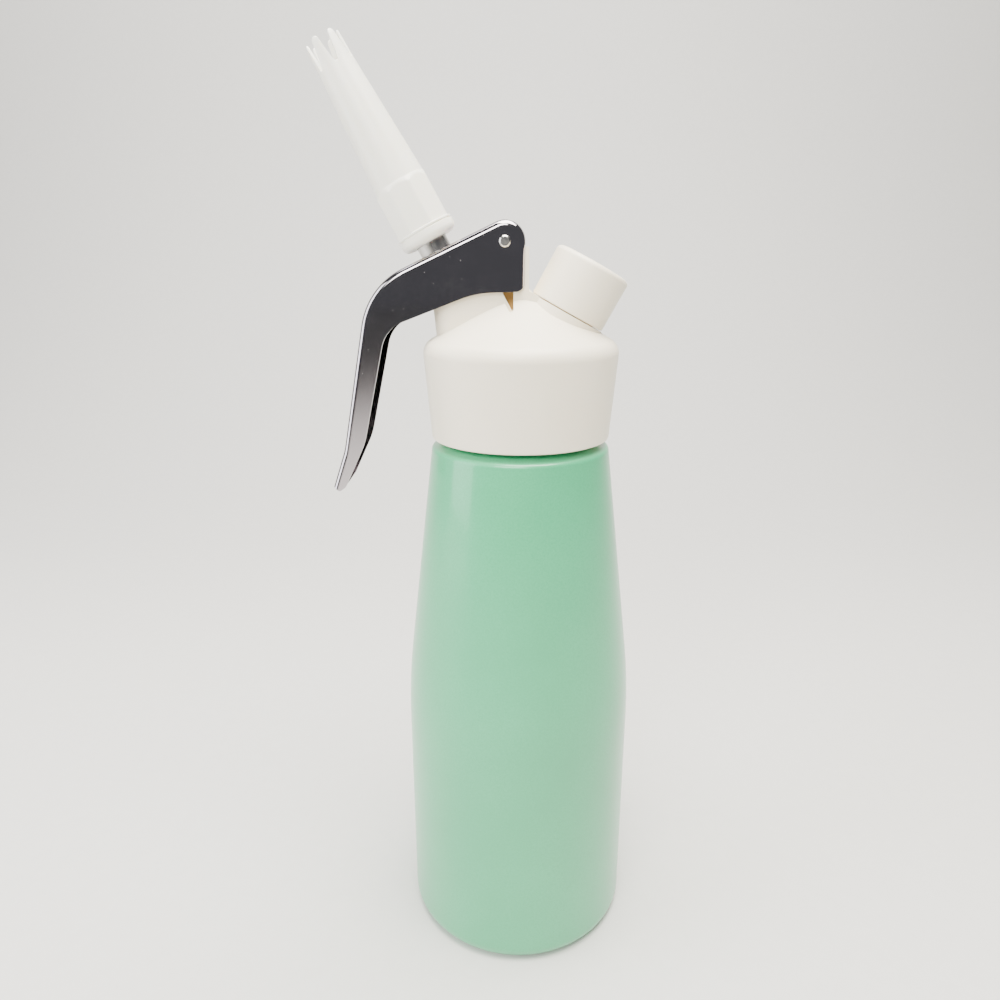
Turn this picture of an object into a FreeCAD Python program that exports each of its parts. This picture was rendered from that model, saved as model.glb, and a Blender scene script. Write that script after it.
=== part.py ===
import FreeCAD, Part
import math
import os
import Sketcher

# Whipped cream dispenser, in millimetres and degrees.
# X runs from the handle towards the charger port, Y away from the viewer, Z up.
# The origin is the middle of the bottle's foot. Both sides of Y = 0 are alike, apart from the snap ring.

values = {
    # Bottle: pressed aluminium, straight body, tapered shoulder, screw neck
    "bottleRadius": 40.0,
    "bottleWall": 1.5,
    "footRadius": 5.4,
    "straightTop": 94.0,
    "taperRadius": 29.6,
    "taperTop": 180.4,
    "bodyBlend": 216.0,
    "shoulderRound": 1.8,
    "neckRadius": 25.0,
    "neckFoot": 182.6,
    "neckTop": 203.0,
    "neckWall": 2.4,
    "footRingInner": 24.0,
    "footRingWidth": 3.0,
    "footRingDepth": 0.8,
    # Head gasket and the faces it seals
    "gasketThickness": 2.4,
    "gasketInner": 21.0,
    "gasketOuter": 25.6,
    # Head shell: moulded plastic skirt and cone
    "skirtFoot": 183.5,
    "skirtFootRadius": 29.4,
    "skirtBore": 26.0,
    "skirtLipRound": 0.8,
    "shellCorner": 31.9,
    "coneFoot": 213.8,
    "coneTop": 232.3,
    "shellShoulderRound": 5.0,
    # Tilt of the valve and charger ports away from the bottle's axis
    "portTilt": 28.5,
    "valveX": -28.3,
    "valveZ": 245.2,
    "portX": 14.8,
    "portZ": 223.9,
    # Valve turret, post and the notch between them
    "turretHalfWidth": 7.6,
    "turretTopDepth": 13.5,
    "turretReachOut": 7.5,
    "turretReachIn": 12.35,
    "turretFootX": -27.0,
    "turretRound": 6.5,
    "turretRoot": 214.5,
    "notchTipX": -3.4,
    "notchTipZ": 224.4,
    "notchTipFlat": 0.7,
    "notchTop": 233.0,
    "postLeft": -2.6,
    "postRight": 2.2,
    "postTop": 243.7,
    "postFoot": 230.6,
    "postRoot": 4.0,
    "seatEnd": 6.0,
    "edgeRound": 0.8,
    # Lever pin and the eye that holds it
    "pinX": -5.3,
    "pinZ": 245.2,
    "pinRadius": 1.75,
    "pinProud": 0.5,
    "pinFit": 0.05,
    "pinPressFit": 0.01,
    "eyeRadius": 4.6,
    "eyeShoulderX": 3.864,
    "eyeShoulderDrop": 0.69,
    "clipWidth": 0.8,
    "clipRadius": 3.2,
    "clipGap": 0.2,
    "pinBevel": 0.4,
    # Lever: pressed channel, plate over the turret, handle down the side
    "leverHalfWidth": 9.0,
    "leverSheet": 1.0,
    "leverEndRadius": 6.3,
    "leverSlope": 25.2,
    "leverBendX": -48.1,
    "leverBendRadius": 24.0,
    "leverFlareX": -57.9,
    "leverFlareZ": 180.0,
    "leverFlareRadius": 30.0,
    "leverTipX": -60.0,
    "leverTipZ": 166.2,
    "leverTipHalf": 2.1,
    "leverTipRise": 1.6,
    "leverFoot": 230.4,
    "leverWallX": -14.5,
    "leverWallZ": 229.9,
    "leverElbowX": -42.7,
    "leverElbowZ": 219.2,
    "leverElbowRadius": 11.0,
    "leverWaistX": -50.9,
    "leverWaistZ": 182.5,
    "leverCornerRadius": 2.7,
    "leverCornerDepth": 0.918,
    "leverWaistRadius": 25.0,
    "leverWallRadius": 30.0,
    "leverTipRadius": 1.0,
    "leverTipInnerRadius": 1.2,
    "leverHollowRadius": 0.8,
    "hollowPast": 12.0,
    "hollowPastRound": 1.0,
    "leverEdgeRound": 1.9,
    "leverHookEnd": 244.2,
    "slotHalfWidth": 5.5,
    "slotLength": 13.4,
    "slotToolHeight": 8.0,
    "slotToolRise": 1.5,
    # Valve stem: threaded neck, collar pushed by the lever, hollow shaft
    "stemNeckRadius": 5.0,
    "stemNeckTop": 8.0,
    "stemRadius": 3.5,
    "stemBore": 2.3,
    "stemTailRadius": 2.6,
    "stemPortRadius": 1.2,
    "stemPortDepth": 33.0,
    "collarTopDepth": 5.6,
    "collarThickness": 2.0,
    "collarRadius": 7.1,
    "collarBevel": 0.9,
    "collarSlope": 1.62,
    "stemCollarSeat": 0.6,
    # Spring, gland and seals of the valve
    "springWire": 1.1,
    "springRadius": 4.8,
    "springTurns": 5.0,
    "springEndGap": 0.05,
    "pocketRadius": 5.9,
    "washerThickness": 0.8,
    "washerInnerGap": 0.4,
    "washerOuterGap": 0.2,
    "springFloorDepth": 21.2,
    "glandRadius": 5.4,
    "glandThickness": 4.0,
    "ringSection": 0.9,
    "ringPitch": 2.6,
    "ringChamber": 5.4,
    "runningFit": 0.05,
    "barrelRadius": 6.5,
    "barrelBore": 4.6,
    "seatDepth": 46.5,
    "sealThickness": 2.0,
    "sealRadius": 6.0,
    "sealGap": 0.1,
    "sealRelief": 1.0,
    "valveNutThickness": 2.6,
    "valveNutRadius": 5.4,
    "valveNutBevel": 0.5,
    "valveNutFlat": 4.752,
    # Nozzle: hollow moulded tip with an eight sided grip and six teeth
    "nozzleLength": 65.0,
    "nozzleFootRadius": 9.2,
    "gripFoot": 4.4,
    "gripTop": 17.9,
    "gripTopRadius": 8.9,
    "gripEase": 0.8,
    "gripFlat": 8.35,
    "gripSides": 8.0,
    "nozzleBodyRadius": 8.2,
    "nozzleTipRadius": 5.7,
    "nozzleFootRound": 2.2,
    "nozzleSocket": 5.3,
    "nozzleSocketDepth": 9.7,
    "nozzleThroat": 4.1,
    "nozzleThroatTop": 14.0,
    "nozzleTipBore": 4.7,
    "nozzleTipThin": 0.35,
    "grooveHeight": 3.5,
    "grooveWidth": 0.5,
    "grooveCut": 0.35,
    "teeth": 6.0,
    "toothHeight": 8.2,
    "toothSlot": 1.3,
    "toothTipCut": 1.02,
    "slotPastTip": 0.3,
    "nozzleWasherThickness": 1.5,
    "nozzleWasherFit": 0.1,
    "nozzleWasherBore": 2.9,
    # Charger port, piercing pin and cap
    "bossRadius": 9.5,
    "bossTop": 12.5,
    "bossRecess": 5.0,
    "bossRecessDepth": 6.0,
    "collarSeatRadius": 12.9,
    "seatHeight": 8.0,
    "capSeatGap": 0.3,
    "capSideGap": 0.6,
    "capTopGap": 3.4,
    "capRadius": 12.65,
    "capLength": 17.0,
    "capBore": 10.0,
    "capCrown": 2.5,
    "capRound": 1.6,
    "capRimRound": 0.5,
    "capWasherBore": 2.0,
    "capWasherRadius": 9.8,
    "capWasherGap": 0.1,
    "piercerRadius": 2.0,
    "piercerFoot": 1.5,
    "piercerShoulder": 8.0,
    "piercerTip": 10.8,
    "piercerBore": 0.5,
    "chargerGasketThickness": 1.5,
    "chargerFit": 0.05,
    "piercerPoint": 0.15,
    "filterThickness": 1.0,
    "gasBore": 1.4,
    "gasOutletX": 9.5,
    "umbrellaRadius": 3.4,
    "umbrellaThickness": 1.2,
    "umbrellaFlat": 1.87,
    "umbrellaRim": 0.48,
    "umbrellaStem": 0.9,
    "umbrellaStemTop": 2.2,
    "umbrellaBead": 0.3,
    "umbrellaTip": 3.1,
    "umbrellaFit": 0.1,
    # Brass core inside the shell
    "coreRadius": 25.7,
    "coreThickness": 3.6,
    "coreFit": 0.05,
    "webHalfWidth": 3.0,
    "webLeft": -12.0,
    "webRight": 0.5,
    "webTop": 234.0,
    "bossStart": -15.8,
    "webFootGap": 1.0,
    # Reach of cutting tools past the faces they open, and overlap of bores that meet
    "pastEnd": 10.0,
    "boreOverlap": 0.5,
}


class Size:
    # A number together with the formula on the sheet that gives it.
    def __init__(self, number, text):
        self.number = number
        self.text = text

    def __add__(self, other):
        return combine(self, other, "+", lambda a, b: a + b)

    def __radd__(self, other):
        return combine(other, self, "+", lambda a, b: a + b)

    def __sub__(self, other):
        return combine(self, other, "-", lambda a, b: a - b)

    def __rsub__(self, other):
        return combine(other, self, "-", lambda a, b: a - b)

    def __mul__(self, other):
        return combine(self, other, "*", lambda a, b: a * b)

    def __rmul__(self, other):
        return combine(other, self, "*", lambda a, b: a * b)

    def __truediv__(self, other):
        return combine(self, other, "/", lambda a, b: a / b)


def numberOf(value):
    return value.number if isinstance(value, Size) else float(value)


def textOf(value):
    return value.text if isinstance(value, Size) else repr(float(value))


def combine(left, right, sign, rule):
    text = "(%s %s %s)" % (textOf(left), sign, textOf(right))
    return Size(rule(numberOf(left), numberOf(right)), text)


document = FreeCAD.newDocument("dispenser")
sheet = document.addObject("Spreadsheet::Sheet", "sizes")
for row, (name, value) in enumerate(values.items(), 1):
    sheet.set("A%d" % row, name)
    sheet.set("B%d" % row, str(value))
    sheet.setAlias("B%d" % row, name)
document.recompute()


def size(name):
    return Size(float(getattr(sheet, name)), "sizes." + name)


def bind(item, name, value):
    if isinstance(value, Size):
        item.setExpression(name, value.text)
    else:
        setattr(item, name, value)


def measure(name):
    return size(name).number


# Places along the two tilted ports

tilt = math.radians(measure("portTilt"))
alongX = math.sin(tilt)
alongZ = math.cos(tilt)


def valvePoint(depth, across=0.0):
    # A point at this depth below the nozzle's foot, and across towards the charger port.
    x = measure("valveX") + alongX * depth + alongZ * across
    z = measure("valveZ") - alongZ * depth + alongX * across
    return FreeCAD.Vector(x, 0, z)


def valvePlace(depth=0.0):
    lean = FreeCAD.Rotation(FreeCAD.Vector(0, -1, 0), measure("portTilt"))
    return FreeCAD.Placement(valvePoint(depth), lean)


def portPlace(height=0.0):
    base = FreeCAD.Vector(measure("portX") + alongX * height, 0, measure("portZ") + alongZ * height)
    return FreeCAD.Placement(base, FreeCAD.Rotation(FreeCAD.Vector(0, 1, 0), measure("portTilt")))


def uprightPlace(x, height):
    return FreeCAD.Placement(FreeCAD.Vector(x, 0, height), FreeCAD.Rotation())


# Shared ways of making a feature

def originPlane(body, role):
    return next(item for item in body.Origin.OriginFeatures if item.Role == role)


def newBody(label):
    body = document.addObject("PartDesign::Body", label)
    body.Label = label
    return body


def newSketch(body, name, role="XZ_Plane"):
    sketch = body.newObject("Sketcher::SketchObject", name)
    sketch.AttachmentSupport = (originPlane(body, role), [""])
    sketch.MapMode = "FlatFace"
    return sketch


def cornerSketch(body, name, corners, role="XZ_Plane"):
    # A closed outline with straight sides, each corner tied to the sheet.
    sketch = newSketch(body, name, role)
    points = [FreeCAD.Vector(numberOf(x), numberOf(y), 0) for x, y in corners]
    count = len(points)
    for index in range(count):
        sketch.addGeometry(Part.LineSegment(points[index], points[(index + 1) % count]), False)
    for index in range(count):
        sketch.addConstraint(Sketcher.Constraint("Coincident", index, 2, (index + 1) % count, 1))
    for index, corner in enumerate(corners):
        for kind, value in zip(("DistanceX", "DistanceY"), corner):
            rule = Sketcher.Constraint(kind, -1, 1, index, 1, numberOf(value))
            place = sketch.addConstraint(rule)
            if isinstance(value, Size):
                sketch.setExpression("Constraints[%d]" % place, value.text)
    return sketch


def edgeSketch(body, name, edges, role="XZ_Plane"):
    # A closed outline of lines and tangent arcs, held where they are worked out.
    sketch = newSketch(body, name, role)
    for edge in edges:
        place = sketch.addGeometry(edge, False)
        sketch.addConstraint(Sketcher.Constraint("Block", place))
    return sketch


def turn(body, corners, name="turned"):
    # A profile turned once round the body's own Z axis.
    sketch = cornerSketch(body, name + "Outline", corners)
    feature = body.newObject("PartDesign::Revolution", name)
    feature.Profile = sketch
    feature.ReferenceAxis = (sketch, ["V_Axis"])
    feature.Angle = 360
    document.recompute()
    return feature


def groove(body, corners, name):
    sketch = cornerSketch(body, name + "Outline", corners)
    feature = body.newObject("PartDesign::Groove", name)
    feature.Profile = sketch
    feature.ReferenceAxis = (sketch, ["V_Axis"])
    feature.Angle = 360
    document.recompute()
    return feature


def pad(body, sketch, width, name):
    feature = body.newObject("PartDesign::Pad", name)
    feature.Profile = sketch
    feature.SideType = "Symmetric"
    bind(feature, "Length", width)
    document.recompute()
    return feature


def pocket(body, sketch, width, name):
    feature = body.newObject("PartDesign::Pocket", name)
    feature.Profile = sketch
    feature.SideType = "Symmetric"
    bind(feature, "Length", width)
    document.recompute()
    return feature


def rounded(body, chosen, radius, name="rounded"):
    # Rounds the edges of the body's last feature for which chosen(edge) is true.
    last = body.Tip
    names = ["Edge%d" % (place + 1) for place, edge in enumerate(last.Shape.Edges) if chosen(edge)]
    if not names:
        raise RuntimeError("no edge to round on " + body.Label)
    feature = body.newObject("PartDesign::Fillet", name)
    feature.Base = (last, names)
    bind(feature, "Radius", radius)
    document.recompute()
    return feature


def isCircle(edge, radius, height):
    # A level circle of this radius at this height on the body's own axis.
    box = edge.BoundBox
    flat = abs(box.ZMax - box.ZMin) < 0.01 and abs(box.ZMin - numberOf(height)) < 0.01
    return flat and abs(box.XLength / 2 - numberOf(radius)) < 0.01


def ring(label, inner, outer, low, high, place=None):
    body = newBody(label)
    turn(body, [(inner, low), (outer, low), (outer, high), (inner, high)])
    if place:
        body.Placement = place
    return body


def cylinder(name, radius, height, place):
    item = document.addObject("Part::Cylinder", name)
    bind(item, "Radius", radius)
    bind(item, "Height", height)
    item.Placement = place
    return item


def fuse(name, items):
    item = document.addObject("Part::MultiFuse", name)
    item.Shapes = items
    return item


def cut(name, base, tool):
    item = document.addObject("Part::Cut", name)
    item.Base = base
    item.Tool = tool
    return item


def roundedPath(points):
    # Lines and tangent arcs through corners (x, z, radius); the first and last stay sharp.
    edges = []
    start = FreeCAD.Vector(points[0][0], points[0][1], 0)
    for index in range(1, len(points) - 1):
        corner = FreeCAD.Vector(points[index][0], points[index][1], 0)
        before = FreeCAD.Vector(points[index - 1][0], points[index - 1][1], 0)
        after = FreeCAD.Vector(points[index + 1][0], points[index + 1][1], 0)
        back = (before - corner).normalize()
        ahead = (after - corner).normalize()
        half = back.getAngle(ahead) / 2
        radius = points[index][2]
        reach = radius / math.tan(half)
        first = corner + back * reach
        last = corner + ahead * reach
        middle = corner + (back + ahead).normalize() * (radius / math.sin(half) - radius)
        if (first - start).Length > 0.001:
            edges.append(Part.LineSegment(start, first))
        edges.append(Part.Arc(first, middle, last))
        start = last
    end = FreeCAD.Vector(points[-1][0], points[-1][1], 0)
    edges.append(Part.LineSegment(start, end))
    return edges


def meeting(a, alongA, b, alongB):
    # Where two lines of the symmetry plane cross.
    cross = alongA[0] * alongB[1] - alongA[1] * alongB[0]
    share = ((b[0] - a[0]) * alongB[1] - (b[1] - a[1]) * alongB[0]) / cross
    return (a[0] + alongA[0] * share, a[1] + alongA[1] * share)


# Sub-parts

def makeBottle():
    body = newBody("bottle")
    radius = size("bottleRadius")
    wall = size("bottleWall")
    neck = size("neckRadius")
    bore = neck - size("neckWall")
    taper = size("taperRadius")
    foot = size("neckFoot")
    straight = size("straightTop")
    turn(body, [
        (0, 0), (radius, 0), (radius, straight), (taper, size("taperTop")), (neck, foot),
        (neck, size("neckTop")), (bore, size("neckTop")), (bore, foot - wall),
        (taper - wall, size("taperTop") - wall), (radius - wall, straight), (radius - wall, wall), (0, wall),
    ])
    rounded(body, lambda edge: isCircle(edge, radius, 0), size("footRadius"), "footRound")
    inside = radius - wall
    rounded(body, lambda edge: isCircle(edge, inside, wall), size("footRadius") - wall, "insideFootRound")
    rounded(body, lambda edge: isCircle(edge, radius, straight), size("bodyBlend"), "bodyBlendOutside")
    rounded(body, lambda edge: isCircle(edge, inside, straight), size("bodyBlend"), "bodyBlendInside")
    rounded(body, lambda edge: isCircle(edge, taper, size("taperTop")), size("shoulderRound"), "shoulder")
    inner = size("footRingInner")
    outer = inner + size("footRingWidth")
    deep = size("footRingDepth")
    groove(body, [(inner, 0), (outer, 0), (outer, deep), (inner, deep)], "footRing")
    return body


def makeGasket():
    low = size("neckTop")
    return ring("head_gasket", size("gasketInner"), size("gasketOuter"), low, low + size("gasketThickness"))


def coreItems(name, grow):
    # The brass core's outside, or the same grown by a fit for the cavity that holds it.
    low = size("neckTop") + size("gasketThickness")
    disc = cylinder(name + "Disc", size("coreRadius") + grow, size("coreThickness") + grow,
                    uprightPlace(0, low.number))
    barrel = cylinder(name + "Barrel", size("barrelRadius") + grow,
                      size("seatDepth") - size("springFloorDepth") + grow, valvePlace(measure("seatDepth")))
    boss = cylinder(name + "Boss", size("bossRadius") + grow, size("bossTop") - size("bossStart") + grow,
                    portPlace(measure("bossStart")))
    web = document.addObject("Part::Box", name + "Web")
    gap = numberOf(grow)
    bind(web, "Length", size("webRight") - size("webLeft") + grow * 2)
    bind(web, "Width", (size("webHalfWidth") + grow) * 2)
    bind(web, "Height", size("webTop") - low - size("webFootGap") + grow)
    web.Placement.Base = FreeCAD.Vector(measure("webLeft") - gap, -measure("webHalfWidth") - gap,
                                        low.number + measure("webFootGap"))
    return [disc, barrel, boss, web]


def makeCore():
    outside = fuse("coreOutside", coreItems("core", Size(0.0, "0.0")))
    seat = measure("seatDepth")
    chamber = size("glandThickness") + size("ringPitch") * 2
    chamberFloor = measure("springFloorDepth") + numberOf(chamber)
    recessFloor = measure("bossTop") - measure("bossRecessDepth")
    outletFoot = measure("neckTop") + measure("gasketThickness")
    reach = (measure("gasOutletX") - measure("portX")) / alongX
    outletTop = measure("portZ") + alongZ * reach
    filterFoot = measure("piercerFoot") - measure("filterThickness")
    past = measure("pastEnd")
    overlap = measure("boreOverlap")
    bores = [
        cylinder("valveBore", size("barrelBore"), seat - chamberFloor + past + overlap,
                 valvePlace(seat + past)),
        sealSpace("coreSealSpace"),
        cylinder("ringChamber", size("ringChamber") + size("runningFit"), numberOf(chamber) + past,
                 valvePlace(chamberFloor)),
        cylinder("chargerRecess", size("bossRecess"), size("bossRecessDepth") + past, portPlace(recessFloor)),
        cylinder("piercerBore", size("piercerRadius") + size("pinPressFit"),
                 recessFloor - filterFoot + overlap, portPlace(filterFoot)),
        cylinder("gasChannel", size("gasBore"), filterFoot - reach + overlap, portPlace(reach)),
        cylinder("gasOutlet", size("gasBore"), outletTop - outletFoot + past,
                 uprightPlace(measure("gasOutletX"), outletFoot - past)),
    ]
    item = cut("head_core", outside, fuse("coreBores", bores))
    item.Label = "head_core"
    return item


def sealSpace(name):
    # Room for the valve's seal and nut below their seat, cut from core and shell alike.
    past = measure("pastEnd")
    place = valvePlace(measure("seatDepth") + past)
    return cylinder(name, size("sealRadius") + size("sealRelief"), past, place)


def turretCorners():
    depth = measure("turretTopDepth")
    outer = valvePoint(depth, -measure("turretReachOut"))
    inner = valvePoint(depth, measure("turretReachIn"))
    root = measure("turretRoot")
    low = inner + FreeCAD.Vector(alongX, 0, -alongZ) * ((inner.z - root) / alongZ)
    return [(outer.x, outer.z), (inner.x, inner.z), (low.x, low.z), (measure("turretFootX"), root)]


def notchCorners():
    tipX = size("notchTipX")
    tipZ = size("notchTipZ")
    flat = size("notchTipFlat")
    top = size("notchTop")
    side = tipX - flat - (top - tipZ) * (alongX / alongZ)
    return [(side, top), (tipX - flat, tipZ + flat / 2), (tipX - flat / 2, tipZ), (tipX + flat / 3, tipZ),
            (size("postLeft"), tipZ + flat), (size("postLeft"), top)]


def makeShell():
    body = newBody("shellMoulding")
    bore = size("skirtBore")
    foot = size("skirtFoot")
    ceiling = size("neckTop") + size("gasketThickness") + size("coreThickness")
    turn(body, [
        (0, ceiling), (bore, ceiling), (bore, foot), (size("skirtFootRadius"), foot),
        (size("shellCorner"), size("coneFoot")), (0, size("coneTop")),
    ])
    corner = size("shellCorner")
    cone = size("coneFoot")
    rounded(body, lambda edge: isCircle(edge, corner, cone), size("shellShoulderRound"), "shoulder")
    lip = size("skirtFootRadius")
    rounded(body, lambda edge: isCircle(edge, lip, foot), size("skirtLipRound"), "lip")
    width = size("turretHalfWidth")
    turret = newBody("turretMoulding")
    pad(turret, cornerSketch(turret, "turretOutline", turretCorners()), width * 2, "turret")
    outer = turretCorners()[0]

    def atOuterWall(edge):
        box = edge.BoundBox
        upright = box.YLength < 0.01 and abs(abs(box.YMin) - width.number) < 0.01
        return upright and box.XMax < outer[0] + 3 and box.ZLength > 3

    rounded(turret, atOuterWall, size("turretRound"), "turretRounding")
    top = turretCorners()[1]

    def atTop(edge):
        middle = edge.valueAt((edge.FirstParameter + edge.LastParameter) / 2)
        drop = (middle.x - outer[0]) * -alongX + (middle.z - outer[1]) * alongZ
        return abs(drop) < 0.01 and middle.x < top[0] - 0.01

    rounded(turret, atTop, size("edgeRound"), "turretTopEdge")
    post = newBody("postMoulding")
    pinX = size("pinX")
    pinZ = size("pinZ")
    eye = size("eyeRadius")
    right = size("postRight")
    left = size("postLeft")
    seatDrop = (size("seatEnd") - right) * (alongX / alongZ)
    root = size("notchTipZ") - size("postRoot")
    pad(post, cornerSketch(post, "postOutline", [
        (left, root), (size("seatEnd"), root),
        (size("seatEnd"), size("postFoot") - seatDrop), (right, size("postFoot")), (right, size("postTop")),
        (pinX, size("postTop")), (pinX - size("eyeShoulderX"), size("postTop") - size("eyeShoulderDrop")),
        (left, size("notchTop")),
    ]), width * 2, "post")
    eyeSketch = newSketch(post, "eyeOutline")
    eyeSketch.addGeometry(Part.Circle(FreeCAD.Vector(pinX.number, pinZ.number, 0),
                                      FreeCAD.Vector(0, 0, 1), eye.number), False)
    rules = [("DistanceX", pinX), ("DistanceY", pinZ)]
    for kind, value in rules:
        place = eyeSketch.addConstraint(Sketcher.Constraint(kind, -1, 1, 0, 3, value.number))
        eyeSketch.setExpression("Constraints[%d]" % place, value.text)
    place = eyeSketch.addConstraint(Sketcher.Constraint("Radius", 0, eye.number))
    eyeSketch.setExpression("Constraints[%d]" % place, eye.text)
    pad(post, eyeSketch, width * 2, "eye")
    pocket(body, cornerSketch(body, "notchOutline", notchCorners()), size("bottleRadius") * 2, "notch")
    seat = cylinder("portSeat", size("collarSeatRadius"), size("seatHeight"),
                    portPlace(-measure("capSeatGap") - measure("seatHeight")))
    outside = fuse("shellOutside", [body, turret, post, seat])
    depth = measure("springFloorDepth")
    spaces = coreItems("cavity", size("coreFit"))
    spaces.append(cylinder("springPocket", size("pocketRadius"), size("springFloorDepth"), valvePlace(depth)))
    pinHole = cylinder("eyeHole", size("pinRadius") + size("pinPressFit"), width * 4,
                       FreeCAD.Placement(FreeCAD.Vector(pinX.number, width.number * 2, pinZ.number),
                                         FreeCAD.Rotation(FreeCAD.Vector(1, 0, 0), 90)))
    spaces.append(pinHole)
    spaces.append(cylinder("portSpotFace", size("capRadius") + size("capSideGap"),
                           size("capLength") + size("capTopGap"), portPlace(-measure("capSeatGap"))))
    spaces.append(sealSpace("shellSealSpace"))
    item = cut("head_shell", outside, fuse("shellSpaces", spaces))
    item.Label = "head_shell"
    return item


def makePin():
    # The pin lies along Y; its far end carries a snap ring outside the lever's wall.
    body = newBody("lever_pin")
    reach = size("leverHalfWidth") + size("pinProud")
    far = size("leverHalfWidth") + size("clipGap") + size("clipWidth") + size("pinProud")
    radius = size("pinRadius")
    bevel = size("pinBevel")
    turn(body, [
        (0, 0 - far), (radius - bevel, 0 - far), (radius, bevel - far), (radius, reach - bevel),
        (radius - bevel, reach), (0, reach),
    ])
    along = FreeCAD.Rotation(FreeCAD.Vector(1, 0, 0), 90)
    body.Placement = FreeCAD.Placement(FreeCAD.Vector(measure("pinX"), 0, measure("pinZ")), along)
    return body


def makeClip():
    far = size("leverHalfWidth") + size("clipGap")
    inner = size("pinRadius") + size("pinPressFit")
    along = FreeCAD.Rotation(FreeCAD.Vector(1, 0, 0), -90)
    place = FreeCAD.Placement(FreeCAD.Vector(measure("pinX"), 0, measure("pinZ")), along)
    return ring("pin_clip", inner, size("clipRadius"), far, far + size("clipWidth"), place)


def leverBack(inset):
    # The outside of plate and handle, or the same line moved in by inset.
    slope = math.radians(measure("leverSlope"))
    plate = (math.cos(slope), math.sin(slope))
    end = measure("leverEndRadius") - inset
    pinX = measure("pinX")
    pinZ = measure("pinZ")
    onPlate = (pinX - plate[1] * end, pinZ + plate[0] * end)
    bendZ = measure("pinZ") + plate[0] * measure("leverEndRadius") + (
        measure("leverBendX") - pinX + plate[1] * measure("leverEndRadius")) * plate[1] / plate[0]
    bend = (measure("leverBendX"), bendZ)
    flare = (measure("leverFlareX"), measure("leverFlareZ"))
    tip = (measure("leverTipX") - measure("leverTipHalf"), measure("leverTipZ") + measure("leverTipRise"))
    handle = unit(bend, flare)
    foot = unit(flare, tip)
    onHandle = (bend[0] - handle[1] * inset, bend[1] + handle[0] * inset)
    onFoot = (flare[0] - foot[1] * inset, flare[1] + foot[0] * inset)
    corner = meeting(onPlate, plate, (pinX + end, pinZ), (0.0, 1.0))
    bendCorner = meeting(onPlate, plate, onHandle, handle)
    flareCorner = meeting(onHandle, handle, onFoot, foot)
    tipCorner = (tip[0] - foot[1] * inset, tip[1] + foot[0] * inset)
    return [
        (pinX + end, measure("leverHookEnd")), (corner[0], corner[1], end),
        (bendCorner[0], bendCorner[1], measure("leverBendRadius") - inset),
        (flareCorner[0], flareCorner[1], measure("leverFlareRadius") + inset), tipCorner,
    ]


def unit(start, end):
    reach = math.hypot(end[0] - start[0], end[1] - start[1])
    return ((end[0] - start[0]) / reach, (end[1] - start[1]) / reach)


def leverFront():
    # The free edge of the side walls, from the back's end at the tip to the corner below the pin.
    tipX = measure("leverTipX") + measure("leverTipHalf")
    right = measure("pinX") + measure("leverEndRadius")
    return [
        (measure("leverTipX") - measure("leverTipHalf"), measure("leverTipZ") + measure("leverTipRise")),
        (measure("leverTipX"), measure("leverTipZ"), measure("leverTipRadius")),
        (tipX, measure("leverTipZ") + measure("leverTipRise"), measure("leverTipInnerRadius")),
        (measure("leverWaistX"), measure("leverWaistZ"), measure("leverWaistRadius")),
        (measure("leverElbowX"), measure("leverElbowZ"), measure("leverElbowRadius")),
        (measure("leverWallX"), measure("leverWallZ"), measure("leverWallRadius")),
        (right - measure("leverCornerRadius"), measure("leverFoot")),
    ]


def leverCorner():
    # The corner below the pin, a little flatter than a true round.
    right = measure("pinX") + measure("leverEndRadius")
    foot = measure("leverFoot")
    radius = measure("leverCornerRadius")
    depth = measure("leverCornerDepth")
    first = FreeCAD.Vector(right - radius, foot, 0)
    middle = FreeCAD.Vector(right - depth, foot + depth, 0)
    last = FreeCAD.Vector(right, foot + radius, 0)
    return Part.Arc(first, middle, last)


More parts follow.
